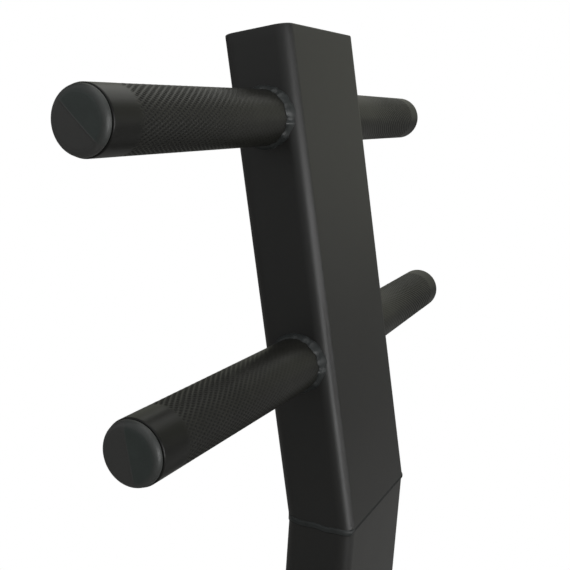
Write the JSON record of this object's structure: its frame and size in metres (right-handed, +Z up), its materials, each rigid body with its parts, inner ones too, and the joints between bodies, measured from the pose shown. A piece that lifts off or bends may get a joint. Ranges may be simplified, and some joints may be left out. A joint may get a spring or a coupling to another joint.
{
  "type": "seal row bench",
  "caption": "High narrow bench for rowing a barbell while lying face down, with a gripped mast, sliding bar catches and transport wheels.",
  "frame": {"origin": "on the floor, in the middle of the bench's overall length and width", "axes": "+X along the bench from the head end with the mast to the tail, +Y across the bench to the right of someone lying face down on it, +Z up"},
  "size_m": [1.696, 0.628, 1.0341],
  "materials": {
    "frame_coat": "satin powder coat",
    "grip_coat": "satin powder coat over knurling",
    "black_plastic": "moulded, fine grain",
    "rubber": "matte",
    "zinc_steel": "zinc plated",
    "plywood": "sanded birch",
    "vinyl": "grained vinyl over foam",
    "red_plastic": "smooth, low friction",
    "knob_plastic": "moulded",
    "tyre": "matte"
  },
  "bodies": {
    "frame": {"front_foot": "frame_coat", "rear_foot": "frame_coat", "base_rail": "frame_coat", "rail_end_plates": "frame_coat", "front_foot_caps": "black_plastic", "rear_foot_caps": "black_plastic", "front_floor_pads": "rubber", "rear_floor_pads": "rubber", "rail_bolts": "zinc_steel", "mast_base_plate": "frame_coat", "mast_gussets": "frame_coat", "mast_bolts": "zinc_steel", "mast_post": "frame_coat", "mast_head": "frame_coat", "mast_top_plate": "frame_coat", "bend_weld": "frame_coat", "upper_left_grip": "grip_coat", "upper_right_grip": "grip_coat", "lower_left_grip": "grip_coat", "lower_right_grip": "grip_coat", "upper_left_plug": "black_plastic", "upper_right_plug": "black_plastic", "lower_left_plug": "black_plastic", "lower_right_plug": "black_plastic", "upper_grip_welds": "frame_coat", "lower_grip_welds": "frame_coat", "front_upright": "frame_coat", "rear_upright": "frame_coat", "upright_gussets": "frame_coat", "upright_foot_bolts": "zinc_steel", "upright_head_bolts": "zinc_steel", "top_rail": "frame_coat", "top_rail_caps": "black_plastic", "pad_plate": "frame_coat", "pad_board": "plywood", "pad_bolts": "zinc_steel", "cushion": "vinyl", "left_wheel_lugs": "frame_coat", "right_wheel_lugs": "frame_coat", "left_axle": "zinc_steel", "right_axle": "zinc_steel", "lift_handle": "frame_coat"},
    "carriage": {"carriage_sleeve": "frame_coat", "slide_bushes": "black_plastic", "cross_arm": "frame_coat", "cross_arm_caps": "black_plastic", "left_hook": "frame_coat", "right_hook": "frame_coat", "left_hook_liner": "red_plastic", "right_hook_liner": "red_plastic", "pin_housing": "zinc_steel", "pin_spring": "zinc_steel"},
    "pin": {"lock_pin": "zinc_steel", "pull_knob": "knob_plastic"},
    "left_wheel": {"left_hub": "black_plastic", "left_tyre": "tyre"},
    "right_wheel": {"right_hub": "black_plastic", "right_tyre": "tyre"}
  },
  "joints": [
    {"name": "catch_height", "type": "slide", "parent": "frame", "child": "carriage", "axis": [0, 0, 1], "range_m": [0, 0.3]},
    {"name": "pin_pull", "type": "slide", "parent": "carriage", "child": "pin", "axis": [1, 0, 0], "range_m": [0, 0.014], "stiffness_N_per_m": 800, "springref_m": -0.01, "deforming": ["pin_spring"]},
    {"name": "left_wheel_spin", "type": "hinge", "parent": "frame", "child": "left_wheel", "pos_m": [-0.798, -0.2, 0.053], "axis": [0, 1, 0], "continuous": true},
    {"name": "right_wheel_spin", "type": "hinge", "parent": "frame", "child": "right_wheel", "pos_m": [-0.798, 0.2, 0.053], "axis": [0, 1, 0], "continuous": true}
  ]
}
